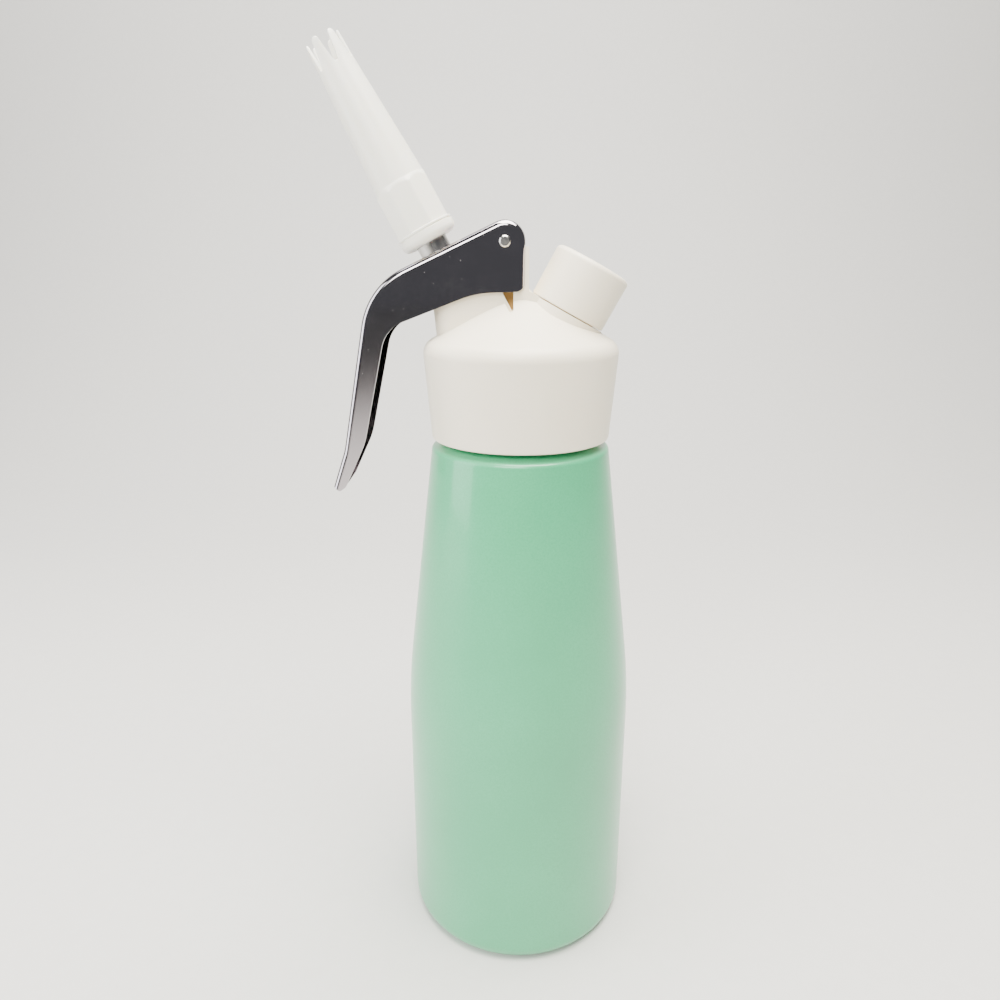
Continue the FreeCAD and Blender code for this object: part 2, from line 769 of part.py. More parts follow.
def makeLever():
    body = newBody("lever")
    half = size("leverHalfWidth")
    sheetWall = size("leverSheet")
    back = leverBack(0.0)
    right = back[0][0]
    back[0] = (right, measure("leverFoot") + measure("leverCornerRadius"))
    backEdges = roundedPath(back)
    outline = backEdges + roundedPath(leverFront()) + [leverCorner()]
    pad(body, edgeSketch(body, "leverOutline", outline), half * 2, "blank")
    backShape = Part.Wire([edge.toShape() for edge in backEdges])
    upright = FreeCAD.Rotation(FreeCAD.Vector(1, 0, 0), 90)
    backShape.Placement = FreeCAD.Placement(FreeCAD.Vector(0, 0, 0), upright)

    def onBack(edge):
        middle = edge.valueAt((edge.FirstParameter + edge.LastParameter) / 2)
        if abs(abs(middle.y) - half.number) > 0.001 or edge.BoundBox.YLength > 0.001:
            return False
        level = Part.Vertex(FreeCAD.Vector(middle.x, 0, middle.z))
        return backShape.distToShape(level)[0] < 0.005

    rounded(body, onBack, size("leverEdgeRound"), "pressedEdges")
    inset = sheetWall.number
    inner = leverBack(inset)
    floor = measure("leverTipZ") + measure("leverTipRise") + inset
    share = (floor - inner[-1][1]) / (inner[-2][1] - inner[-1][1])
    last = (inner[-1][0] + (inner[-2][0] - inner[-1][0]) * share, floor)
    beyond = measure("hollowPast")
    outside = measure("hollowPastRound")
    farX = measure("pinX") + measure("leverEndRadius") + beyond
    hollow = roundedPath([
        (inner[0][0], inner[0][1]), inner[1], inner[2], inner[3],
        (last[0], last[1], measure("leverHollowRadius")),
        (measure("leverTipX") + beyond, floor, outside),
        (measure("leverWaistX") + beyond, measure("leverWaistZ"), outside),
        (measure("leverElbowX") + beyond, measure("leverElbowZ") - beyond, outside),
        (farX, measure("leverFoot") - beyond, outside), (farX, measure("leverHookEnd"), outside),
        (inner[0][0], inner[0][1]),
    ])
    pocket(body, edgeSketch(body, "hollowOutline", hollow), (half - sheetWall) * 2, "hollow")
    pinHole = cylinder("leverPinHole", size("pinRadius") + size("pinFit"), half * 4,
                       FreeCAD.Placement(FreeCAD.Vector(measure("pinX"), half.number * 2, measure("pinZ")),
                                         FreeCAD.Rotation(FreeCAD.Vector(1, 0, 0), 90)))
    body.Label = "leverPressing"
    item = cut("lever_part", body, fuse("leverHoles", [slotTool(), pinHole]))
    item.Label = "lever"
    return item


def slotTool():
    # A slot along the plate for the stem's neck to swing in.
    slope = measure("leverSlope")
    radius = size("slotHalfWidth")
    reach = measure("slotLength") / 2 - radius.number
    turned = FreeCAD.Rotation(FreeCAD.Vector(0, -1, 0), slope)
    along = turned.multVec(FreeCAD.Vector(1, 0, 0))
    out = turned.multVec(FreeCAD.Vector(0, 0, 1))
    centre = valvePoint(measure("collarTopDepth") - measure("slotToolRise"))
    height = measure("slotToolHeight")
    ends = []
    for side, name in ((-1, "slotOuterEnd"), (1, "slotInnerEnd")):
        base = centre + along * (side * reach) - out * (height / 2)
        ends.append(cylinder(name, radius, height, FreeCAD.Placement(base, turned)))
    middle = document.addObject("Part::Box", "slotMiddle")
    middle.Length = reach * 2
    bind(middle, "Width", radius * 2)
    middle.Height = height
    base = centre - along * reach - out * (height / 2) - FreeCAD.Vector(0, radius.number, 0)
    middle.Placement = FreeCAD.Placement(base, turned)
    return fuse("slot", ends + [middle])


def makeStem():
    body = newBody("valve_stem")
    neck = size("stemNeckRadius")
    shaft = size("stemRadius")
    bore = size("stemBore")
    tail = size("stemTailRadius")
    top = size("stemNeckTop")
    seat = size("seatDepth")
    collarFoot = size("collarTopDepth") + size("collarThickness")
    end = seat + size("sealGap") + size("sealThickness") + size("valveNutThickness")
    shoulder = seat + size("sealGap")
    closed = size("stemPortDepth") + size("stemPortRadius") * 2
    turn(body, [
        (0, 0 - end), (tail, 0 - end), (tail, 0 - shoulder), (shaft, 0 - shoulder), (shaft, 0 - collarFoot),
        (neck - size("stemCollarSeat"), 0 - collarFoot),
        (neck - size("stemCollarSeat"), 0 - size("collarTopDepth")), (neck, 0 - size("collarTopDepth")),
        (neck, top), (bore, top), (bore, 0 - closed), (0, 0 - closed),
    ])
    sketch = newSketch(body, "portOutline")
    depth = size("stemPortDepth")
    radius = size("stemPortRadius")
    circle = Part.Circle(FreeCAD.Vector(0, -depth.number, 0), FreeCAD.Vector(0, 0, 1), radius.number)
    sketch.addGeometry(circle, False)
    sketch.addConstraint(Sketcher.Constraint("PointOnObject", 0, 3, -2))
    place = sketch.addConstraint(Sketcher.Constraint("DistanceY", -1, 1, 0, 3, -depth.number))
    sketch.setExpression("Constraints[%d]" % place, "-" + depth.text)
    place = sketch.addConstraint(Sketcher.Constraint("Radius", 0, radius.number))
    sketch.setExpression("Constraints[%d]" % place, radius.text)
    pocket(body, sketch, shaft * 4, "crossPorts")
    body.Placement = valvePlace()
    return body


def makeCollar():
    # The collar under the lever's plate, bevelled so that the plate can rock on it.
    body = newBody("stem_collar")
    inner = size("stemNeckRadius") - size("stemCollarSeat") + size("pinPressFit")
    outer = size("collarRadius")
    top = 0 - size("collarTopDepth")
    low = top - size("collarThickness")
    bevel = size("collarBevel")
    turn(body, [
        (inner, low), (outer, low), (outer, top - bevel), (outer - size("collarSlope"), top), (inner, top),
    ])
    body.Placement = valvePlace()
    return body


def makeSpring():
    # One unbroken wire: each half turn is two arcs, swept as a pipe with ends on the flats.
    wire = measure("springWire")
    radius = measure("springRadius")
    turns = measure("springTurns")
    ends = wire / 2 + measure("springEndGap")
    high = -(measure("collarTopDepth") + measure("collarThickness")) - ends
    low = -measure("springFloorDepth") + measure("washerThickness") + ends
    steps = int(round(turns * 4))
    count = steps * 2 + 1

    def point(share):
        angle = 2 * math.pi * turns * share
        return FreeCAD.Vector(radius * math.cos(angle), radius * math.sin(angle), low + (high - low) * share)

    points = [point(place / (count - 1)) for place in range(count)]
    arcs = [Part.Arc(points[place], points[place + 1], points[place + 2]).toShape()
            for place in range(0, count - 2, 2)]
    path = Part.Wire(arcs)
    start = points[0]
    ahead = arcs[0].tangentAt(arcs[0].FirstParameter)
    section = Part.Wire([Part.Circle(start, ahead, wire / 2).toShape()])
    tube = path.makePipeShell([section], True, True)
    pitch = (high - low) / turns
    slope = math.atan2(pitch, 2 * math.pi * radius)
    gap = pitch * math.cos(slope) - wire
    print("valve_spring: wire %.2f, %.1f turns, least gap to itself %.2f mm" % (wire, turns, gap))
    print("valve_spring: volume %.1f, section times length %.1f" % (
        tube.Volume, math.pi * wire ** 2 / 4 * path.Length))
    item = document.addObject("Part::Feature", "valve_spring")
    item.Label = "valve_spring"
    item.Shape = tube
    item.Placement = valvePlace()
    return item


def makeSpringWasher():
    low = 0 - size("springFloorDepth")
    inner = size("stemRadius") + size("washerInnerGap")
    outer = size("pocketRadius") - size("washerOuterGap")
    return ring("spring_washer", inner, outer, low, low + size("washerThickness"), valvePlace())


def makeGland():
    high = 0 - size("springFloorDepth")
    inner = size("stemRadius") + size("runningFit")
    return ring("gland_bush", inner, size("glandRadius"), high - size("glandThickness"), high, valvePlace())


def makeStemRings():
    # Two rubber rings in the chamber below the gland.
    section = size("ringSection")
    middle = size("stemRadius") + size("runningFit") + section
    first = size("springFloorDepth") + size("glandThickness") + size("ringPitch") / 2
    rings = []
    for place in range(2):
        item = document.addObject("Part::Torus", "stemRing%d" % place)
        bind(item, "Radius1", middle)
        bind(item, "Radius2", section)
        item.Placement = valvePlace(first.number + place * measure("ringPitch"))
        rings.append(item)
    item = document.addObject("Part::Compound", "stem_rings")
    item.Links = rings
    item.Label = "stem_rings"
    return item


def makeSeal():
    high = 0 - size("seatDepth") - size("sealGap")
    inner = size("stemTailRadius") + size("pinPressFit")
    return ring("valve_seal", inner, size("sealRadius"), high - size("sealThickness"), high, valvePlace())


def makeValveNut():
    body = newBody("valve_nut")
    high = 0 - size("seatDepth") - size("sealGap") - size("sealThickness")
    low = high - size("valveNutThickness")
    inner = size("stemTailRadius") + size("pinPressFit")
    outer = size("valveNutRadius")
    bevel = size("valveNutBevel")
    turn(body, [(inner, low), (outer - bevel, low), (outer, low + bevel), (outer, high), (inner, high)])
    sketch = newSketch(body, "keyOutline", "XY_Plane")
    flat = measure("valveNutFlat")
    past = measure("pastEnd")
    for side in (-1, 1):
        corners = [(side * flat, -past), (side * past, -past), (side * past, past), (side * flat, past)]
        points = [FreeCAD.Vector(x, y, 0) for x, y in corners]
        for place in range(4):
            where = sketch.addGeometry(Part.LineSegment(points[place], points[(place + 1) % 4]), False)
            sketch.addConstraint(Sketcher.Constraint("Block", where))
    pocket(body, sketch, size("nozzleLength") * 2, "keyFlats")
    body.Placement = valvePlace()
    return body


def makeNozzle():
    body = newBody("nozzle")
    foot = size("nozzleFootRadius")
    length = size("nozzleLength")
    tip = size("nozzleTipRadius")
    grip = size("gripTop")
    tipBore = size("nozzleTipBore")
    throat = size("nozzleThroat")
    turn(body, [
        (size("nozzleSocket"), 0), (foot, 0), (size("gripTopRadius"), grip),
        (size("nozzleBodyRadius"), grip + size("gripEase")),
        (tip, length - size("toothHeight")), (tip - size("nozzleTipThin"), length), (tipBore, length),
        (tipBore, length - size("toothHeight")), (throat, size("nozzleThroatTop")),
        (throat, size("nozzleSocketDepth")), (size("nozzleSocket"), size("nozzleSocketDepth")),
    ])
    rounded(body, lambda edge: isCircle(edge, foot, 0), size("nozzleFootRound"), "footRound")
    low = size("grooveHeight")
    high = low + size("grooveWidth")
    deep = foot - size("grooveCut")
    groove(body, [(deep, low), (foot + 1, low), (foot + 1, high), (deep, high)], "gripGroove")
    flat = size("gripFlat")
    sides = int(measure("gripSides"))
    flatSketch = cornerSketch(body, "flatOutline", [
        (flat, 0 - size("nozzleFootRadius")), (foot + 2, 0 - size("nozzleFootRadius")),
        (foot + 2, size("nozzleFootRadius")), (flat, size("nozzleFootRadius")),
    ], "XY_Plane")
    flatSketch.setExpression("AttachmentOffset.Base.z", size("gripFoot").text)
    flats = body.newObject("PartDesign::Pocket", "gripFlat")
    flats.Profile = flatSketch
    flats.Reversed = True
    bind(flats, "Length", grip - size("gripFoot") + size("gripEase"))
    document.recompute()
    repeat(body, flats, sides, 360.0, "gripFlats")
    slot = size("toothSlot") / 2
    root = length - size("toothHeight")
    spread = math.pi * tip.number / measure("teeth") * measure("toothTipCut")
    past = length + size("slotPastTip")
    slotSketch = cornerSketch(body, "slotOutline", [
        (0 - slot, root + slot), (0 - slot / 2, root), (slot / 2, root), (slot, root + slot),
        (spread, past), (0 - spread, past),
    ])
    slots = body.newObject("PartDesign::Pocket", "toothSlot")
    slots.Profile = slotSketch
    bind(slots, "Length", foot * 2)
    document.recompute()
    repeat(body, slots, int(measure("teeth")), 360.0, "toothSlots")
    body.Placement = valvePlace()
    return body


def repeat(body, feature, count, angle, name):
    # The same cut round the body's own Z axis.
    pattern = body.newObject("PartDesign::PolarPattern", name)
    pattern.Originals = [feature]
    axis = next(item for item in body.Origin.OriginFeatures if item.Role == "Z_Axis")
    pattern.Axis = (axis, [""])
    pattern.Angle = angle
    pattern.Occurrences = count
    body.Tip = pattern
    document.recompute()
    return pattern


def makeNozzleWasher():
    fit = size("nozzleWasherFit")
    low = size("stemNeckTop") + fit
    outer = size("nozzleSocket") - fit
    high = low + size("nozzleWasherThickness")
    return ring("nozzle_washer", size("nozzleWasherBore"), outer, low, high, valvePlace())


def makeCap():
    body = newBody("port_cap")
    outer = size("capRadius")
    length = size("capLength")
    bore = size("capBore")
    ceiling = length - size("capCrown")
    turn(body, [(bore, 0), (outer, 0), (outer, length), (0, length), (0, ceiling), (bore, ceiling)])
    rounded(body, lambda edge: isCircle(edge, outer, length), size("capRound"), "crownRound")
    rounded(body, lambda edge: isCircle(edge, outer, 0), size("capRimRound"), "rimRound")
    body.Placement = portPlace()
    return body


def makeCapWasher():
    high = size("capLength") - size("capCrown")
    low = size("bossTop") + size("capWasherGap")
    return ring("cap_washer", size("capWasherBore"), size("capWasherRadius"), low, high, portPlace())


def makePiercer():
    body = newBody("piercing_pin")
    radius = size("piercerRadius")
    bore = size("piercerBore")
    turn(body, [
        (bore, size("piercerFoot")), (radius, size("piercerFoot")), (radius, size("piercerShoulder")),
        (bore + size("piercerPoint"), size("piercerTip")), (bore, size("piercerTip")),
    ])
    body.Placement = portPlace()
    return body


def makeFilter():
    high = size("piercerFoot")
    body = newBody("gas_filter")
    low = high - size("filterThickness")
    radius = size("piercerRadius") - size("chargerFit")
    turn(body, [(0, low), (radius, low), (radius, high), (0, high)])
    body.Placement = portPlace()
    return body


def makeChargerGasket():
    low = size("bossTop") - size("bossRecessDepth")
    inner = size("piercerRadius") + size("chargerFit")
    outer = size("bossRecess") - size("chargerFit")
    return ring("charger_gasket", inner, outer, low, low + size("chargerGasketThickness"), portPlace())


def makeUmbrella():
    # A rubber mushroom whose cap covers the gas outlet from below.
    body = newBody("nonreturn_valve")
    high = 0 - size("umbrellaFit")
    thick = size("umbrellaThickness")
    radius = size("umbrellaRadius")
    stem = size("umbrellaStem")
    top = size("umbrellaStemTop")
    bead = size("umbrellaBead")
    turn(body, [
        (0, high - thick), (size("umbrellaFlat"), high - thick), (radius, high - size("umbrellaRim")),
        (radius, high), (stem, high), (stem, top), (stem + bead, top + bead),
        (stem / 2, size("umbrellaTip")), (0, size("umbrellaTip")),
    ])
    foot = measure("neckTop") + measure("gasketThickness")
    body.Placement = uprightPlace(measure("gasOutletX"), foot)
    return body


makers = [
    makeBottle, makeGasket, makeCore, makeShell, makePin, makeClip, makeLever, makeStem, makeCollar,
    makeSpring, makeSpringWasher, makeGland, makeStemRings, makeSeal, makeValveNut, makeNozzle,
    makeNozzleWasher, makeCap, makeCapWasher, makePiercer, makeFilter, makeChargerGasket, makeUmbrella,
]
parts = [make() for make in makers]
document.recompute()

for item in document.Objects:
    if any(state in item.State for state in ("Invalid", "Error")):
        raise RuntimeError("%s failed: %s" % (item.Label, item.State))
for item in parts:
    if item.Shape.isNull() or not item.Shape.isValid():
        raise RuntimeError("%s has no valid shape" % item.Label)

os.makedirs("parts", exist_ok=True)
for item in parts:
    item.Shape.exportStep("parts/%s.step" % item.Label)
    print("%s: %d solid(s), %.1f mm3" % (item.Label, len(item.Shape.Solids), item.Shape.Volume))
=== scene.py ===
import math
import bmesh
import bpy
import numpy as np
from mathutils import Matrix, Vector


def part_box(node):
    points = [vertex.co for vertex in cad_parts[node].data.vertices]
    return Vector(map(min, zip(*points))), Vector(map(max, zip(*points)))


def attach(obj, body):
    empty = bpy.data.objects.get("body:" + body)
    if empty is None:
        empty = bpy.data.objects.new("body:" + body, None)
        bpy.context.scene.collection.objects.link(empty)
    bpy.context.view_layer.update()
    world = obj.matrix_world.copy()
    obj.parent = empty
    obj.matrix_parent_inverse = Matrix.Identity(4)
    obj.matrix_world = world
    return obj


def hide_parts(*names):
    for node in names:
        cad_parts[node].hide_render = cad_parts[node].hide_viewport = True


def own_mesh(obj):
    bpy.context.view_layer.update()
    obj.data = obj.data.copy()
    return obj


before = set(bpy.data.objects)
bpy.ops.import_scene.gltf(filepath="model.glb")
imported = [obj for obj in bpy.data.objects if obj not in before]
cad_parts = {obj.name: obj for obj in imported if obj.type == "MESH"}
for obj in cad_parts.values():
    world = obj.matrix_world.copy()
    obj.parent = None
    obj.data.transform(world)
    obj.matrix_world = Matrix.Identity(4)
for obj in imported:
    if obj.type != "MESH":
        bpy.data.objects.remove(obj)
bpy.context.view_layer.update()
print("frame loaded")

# Sizes below are in millimetres and degrees, and makePiece turns them into metres.
mm = 0.001
portTilt = 28.5                 # lean of the valve and of the charger port
valveOrigin = (-28.3, 0.0, 245.2)
portOrigin = (14.8, 0.0, 223.9)
sameCorner = 0.001              # corners of a made surface that are nearer than this are one
samePackedCorner = 0.002        # the same for the frame's own nodes


# Places: an origin with three square directions, the last one along the axis

def makePlace(origin, lean):
    angle = math.radians(lean)
    side = np.array([math.cos(angle), 0.0, -math.sin(angle)])
    axis = np.array([math.sin(angle), 0.0, math.cos(angle)])
    return np.array(origin, float), side, np.array([0.0, 1.0, 0.0]), axis


bottlePlace = makePlace((0, 0, 0), 0)
valvePlace = makePlace(valveOrigin, -portTilt)
portPlace = makePlace(portOrigin, portTilt)


def around(place, radius, angle, height):
    # origin + radius (cos angle side + sin angle across) + height axis, for whole arrays
    origin, side, across, axis = place
    ring = np.cos(angle)[..., None] * side + np.sin(angle)[..., None] * across
    return origin + radius[..., None] * ring + height[..., None] * axis


# Outlines and grids

def roundedOutline(corners, steps=8):
    # Straight runs through corners (x, y, radius), with an arc of that radius tangent to both runs at each
    # corner. A point up to one arc step before and after each arc keeps the straight runs' shading flat.
    fewestSteps = 4
    path = [(*corner, 0.0)[:3] for corner in corners]
    points = [np.array([path[0][:2]], float)]
    for before, corner, after in zip(path, path[1:], path[2:]):
        here = np.array(corner[:2], float)
        if corner[2] == 0:
            points.append(here[None])
            continue
        back = np.array(before[:2], float) - here
        ahead = np.array(after[:2], float) - here
        back /= np.hypot(*back)
        ahead /= np.hypot(*ahead)
        half = math.acos(np.clip(back @ ahead, -1, 1)) / 2
        reach = corner[2] / math.tan(half)
        middle = here + (back + ahead) / np.hypot(*(back + ahead)) * corner[2] / math.sin(half)
        turn = math.pi - 2 * half
        count = max(fewestSteps, math.ceil(turn / (math.pi / 2) * steps))
        share = np.linspace(0, 1, count + 1)[:, None]
        first = here + back * reach - middle
        last = here + ahead * reach - middle
        arc = middle + (np.sin((1 - share) * turn) * first + np.sin(share * turn) * last) / math.sin(turn)
        guard = min(corner[2] * turn / count, reach / 2)
        points += [arc[:1] + back * guard, arc, arc[-1:] + ahead * guard]
    points.append(np.array([path[-1][:2]], float))
    return np.vstack(points)


def gridFaces(rows, columns, wrapRows, wrapColumns):
    row, column = np.meshgrid(np.arange(rows if wrapRows else rows - 1),
                              np.arange(columns if wrapColumns else columns - 1), indexing="ij")
    nextRow = (row + 1) % rows
    nextColumn = (column + 1) % columns
    corners = [row * columns + column, row * columns + nextColumn,
               nextRow * columns + nextColumn, nextRow * columns + column]
    return np.stack(corners, -1).reshape(-1, 4)


def finishPiece(piece, body, finish, standsFor=()):
    piece.data.materials.clear()
    piece.data.materials.append(finish)
    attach(piece, body)
    if standsFor:
        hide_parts(*standsFor)
    return piece


def makePiece(name, points, wrapRows=False, wrapColumns=True, sharpAbove=32):
    # A closed surface from a grid of points. Rows that shrink to a point are merged into poles, and the faces
    # are turned outwards: the volume is the sum over faces of corner . (corner x corner) / 6, and has to be
    # positive.
    rows, columns = points.shape[:2]
    flat = points.reshape(-1, 3) * mm
    faces = gridFaces(rows, columns, wrapRows, wrapColumns)
    a, b, c, d = (flat[faces[:, index]] for index in range(4))
    volume = (a * (np.cross(b, c) + np.cross(c, d))).sum() / 6
    if volume < 0:
        faces = faces[:, ::-1]
    mesh = bpy.data.meshes.new(name)
    mesh.from_pydata(flat.tolist(), [], faces.tolist())
    closeUp(mesh, sameCorner)
    mesh.shade_smooth()
    mesh.set_sharp_from_angle(angle=math.radians(sharpAbove))
    piece = bpy.data.objects.new(name, mesh)
    bpy.context.scene.collection.objects.link(piece)
    return piece


def closeUp(mesh, distance):
    # Merges corners that lie together, and fills the open ends that a grid leaves.
    work = bmesh.new()
    work.from_mesh(mesh)
    bmesh.ops.remove_doubles(work, verts=work.verts, dist=distance * mm)
    openEdges = [edge for edge in work.edges if edge.is_boundary]
    if openEdges:
        bmesh.ops.holes_fill(work, edges=openEdges, sides=0)
    work.to_mesh(mesh)
    work.free()


def turned(name, profile, place, columns=144):
    # radius(u), height(u) from the profile, carried round the place's axis by the angle v
    closed = np.allclose(profile[0], profile[-1])
    if closed:
        profile = profile[:-1]
    angle = np.linspace(0, 2 * math.pi, columns, endpoint=False)[None].repeat(len(profile), 0)
    radius = np.repeat(profile[:, :1], columns, 1)
    height = np.repeat(profile[:, 1:], columns, 1)
    return makePiece(name, around(place, radius, angle, height), wrapRows=closed)


def threadRidge(name, place, settings):
    # A ridge along a helix: angle t, height = low + pitch t / (2 pi), with a five point section that fades
    # almost to nothing over a third of a turn at both ends, where it also narrows.
    ridge = {"perTurn": 72, "fadesInTurn": 3, "leastFade": 0.02, "endWidth": 0.4, "root": 0.3}
    low = settings["low"]
    high = settings["high"]
    turns = (high - low) / settings["pitch"]
    along = np.linspace(0, 1, int(turns * ridge["perTurn"]))[:, None]
    fade = np.clip(np.minimum(along, 1 - along) * turns * ridge["fadesInTurn"], ridge["leastFade"], 1)
    half = settings["width"] / 2
    across = np.array([-1.0, -0.5, 0.5, 1.0, 0.0])[None] * half
    rise = np.array([0.0, 1.0, 1.0, 0.0, -ridge["root"]])[None] * settings["rise"] * fade
    angle = along * turns * 2 * math.pi + across * 0
    radius = settings["radius"] + rise
    height = low + along * (high - low) + across * (ridge["endWidth"] + (1 - ridge["endWidth"]) * fade)
    return makePiece(name, around(place, radius, angle, height), sharpAbove=60)


# Colour and node helpers

def linear(colour):
    # sRGB hex to the linear colour that shaders use
    parts = np.array([int(colour[index:index + 2], 16) for index in (1, 3, 5)]) / 255
    return (*np.where(parts <= 0.04045, parts / 12.92, ((parts + 0.055) / 1.055) ** 2.4), 1.0)


def addNode(tree, kind, inputs=None, **settings):
    node = tree.nodes.new("ShaderNode" + kind)
    for name, value in settings.items():
        setattr(node, name, value)
    for socket, value in (inputs or {}).items():
        if isinstance(value, bpy.types.NodeSocket):
            tree.links.new(value, node.inputs[socket])
        else:
            node.inputs[socket].default_value = value
    return node


def startMaterial(name):
    material = bpy.data.materials.new(name)
    material.use_nodes = True
    material.node_tree.nodes.clear()
    place = addNode(material.node_tree, "TexCoord").outputs["Object"]
    return material, material.node_tree, place


def perMetre(size):
    # Scale of a pattern whose features are size millimetres across
    return 1 / (size * mm)


def blendColours(tree, factor, low, high):
    # From the colour low to the colour high, both sRGB hex, as factor goes from 0 to 1
    inputs = {"Factor": factor, 6: linear(low), 7: linear(high)}
    return addNode(tree, "Mix", inputs, data_type="RGBA").outputs[2]


def noise(tree, place, size, detail):
    # Noise whose features are size millimetres across
    return addNode(tree, "TexNoise", {"Vector": place, "Scale": perMetre(size), "Detail": detail}).outputs[0]


def spread(tree, value, low, high, source=(0.0, 1.0)):
    # The value's range source stretched to the range from low to high
    return addNode(tree, "MapRange", {"Value": value, "From Min": source[0], "From Max": source[1],
                                      "To Min": low, "To Max": high}).outputs[0]


def relief(tree, height, depth):
    # Shading normals of a relief that is depth millimetres deep
    return addNode(tree, "Bump", {"Height": height, "Distance": depth * mm, "Strength": 1.0}).outputs[0]


def finishMaterial(tree, shader):
    addNode(tree, "OutputMaterial", {"Surface": shader.outputs[0]})


# Finishes

def enamel(name="bottleEnamel"):
    # Enamel sprayed and stoved on aluminium: even mint green, satin with a clear skin, faint orange peel.
    look = {"pale": "#42ab79", "deep": "#3aa271", "cloud": 45, "peel": 1.6, "peelDepth": 0.006, "speck": 0.5,
            "blendRange": (0.15, 0.35), "gloss": 0.30, "matt": 0.38, "coat": 0.5, "coatGloss": 0.1}
    material, tree, place = startMaterial(name)
    cloud = noise(tree, place, look["cloud"], 3.0)
    speck = noise(tree, place, look["speck"], 1.0)
    both = addNode(tree, "Math", {0: cloud, 1: speck}, operation="MULTIPLY").outputs[0]
    blend = spread(tree, both, 0.0, 1.0, look["blendRange"])
    colour = blendColours(tree, blend, look["deep"], look["pale"])
    peel = noise(tree, place, look["peel"], 2.0)
    shader = addNode(tree, "BsdfPrincipled", {
        "Base Color": colour, "Roughness": spread(tree, cloud, look["gloss"], look["matt"]),
        "Normal": relief(tree, peel, look["peelDepth"]), "IOR": 1.5,
        "Coat Weight": look["coat"], "Coat Roughness": look["coatGloss"], "Coat IOR": 1.5})
    finishMaterial(tree, shader)
    return material


def mouldedPlastic(name, look):
    # Injection moulded polypropylene: soft gloss, fine spark-eroded grain, some light carried under the skin.
    material, tree, place = startMaterial(name)
    cloud = noise(tree, place, look["cloud"], 3.0)
    grain = noise(tree, place, look["grain"], 2.0)
    shader = addNode(tree, "BsdfPrincipled", {
        "Base Color": blendColours(tree, cloud, look["deep"], look["pale"]),
        "Roughness": spread(tree, grain, look["gloss"], look["matt"]),
        "Normal": relief(tree, grain, look["grainDepth"]), "IOR": 1.49, "Subsurface Weight": look["inside"],
        "Subsurface Radius": (1.0, 0.85, 0.6), "Subsurface Scale": look["reach"] * mm})
    finishMaterial(tree, shader)
    return material


def metal(name, look):
    # A metal skin: smudges change its gloss, and fine tool or grinding lines are stretched along one axis. A
    # look may give less than 1 as its share of bare metal.
    smudgeRange = (0.3, 0.7)
    material, tree, place = startMaterial(name)
    smudge = noise(tree, place, look["smudge"], 4.0)
    stretched = addNode(tree, "Mapping", {"Vector": place, "Scale": look["stretch"]}).outputs[0]
    lines = noise(tree, stretched, look["line"], 2.0)
    shader = addNode(tree, "BsdfPrincipled", {
        "Base Color": blendColours(tree, lines, look["deep"], look["pale"]),
        "Metallic": look.get("metal", 1.0),
        "Roughness": spread(tree, smudge, look["gloss"], look["matt"], smudgeRange),
        "Normal": relief(tree, lines, look["lineDepth"])})
    finishMaterial(tree, shader)
    return material


def chrome(name="leverChrome"):
    # Bright chromium over nickel on pressed steel: mirror with faint smudges and small specks of dust.
    look = {"bright": "#b4aeb2", "dust": "#c4c0be", "smudge": 9, "speckPitch": 2.2, "speckSize": 0.07,
            "speckCore": 0.6, "speckDull": 0.3, "smudgeRange": (0.35, 0.7), "gloss": 0.05, "matt": 0.13,
            "wave": 14, "waveDepth": 0.01}
    material, tree, place = startMaterial(name)
    smudge = noise(tree, place, look["smudge"], 5.0)
    cells = addNode(tree, "TexVoronoi", {"Vector": place, "Scale": perMetre(look["speckPitch"])})
    size = look["speckSize"]
    speck = spread(tree, cells.outputs["Distance"], 1.0, 0.0, (size * look["speckCore"], size))
    film = spread(tree, smudge, look["gloss"], look["matt"], look["smudgeRange"])
    dull = addNode(tree, "Math", {0: speck, 1: look["speckDull"], 2: film}, operation="MULTIPLY_ADD")
    wave = noise(tree, place, look["wave"], 0.0)
    shader = addNode(tree, "BsdfPrincipled", {
        "Base Color": blendColours(tree, speck, look["bright"], look["dust"]), "Metallic": 1.0,
        "Roughness": dull.outputs[0], "Normal": relief(tree, wave, look["waveDepth"])})
    finishMaterial(tree, shader)
    return material


def rubber(name="sealRubber"):
    # Moulded nitrile rubber: dark, dull, slightly bloomed in patches, with a fine matt grain.
    look = {"deep": "#232324", "bloom": "#3a3a3a", "patch": 3, "grain": 0.3, "grainDepth": 0.02, "gloss": 0.6,
            "matt": 0.8}
    material, tree, place = startMaterial(name)
    patch = noise(tree, place, look["patch"], 4.0)
    grain = noise(tree, place, look["grain"], 1.0)
    shader = addNode(tree, "BsdfPrincipled", {
        "Base Color": blendColours(tree, patch, look["deep"], look["bloom"]),
        "Roughness": spread(tree, patch, look["gloss"], look["matt"]),
        "Normal": relief(tree, grain, look["grainDepth"]), "IOR": 1.52})
    finishMaterial(tree, shader)
    return material


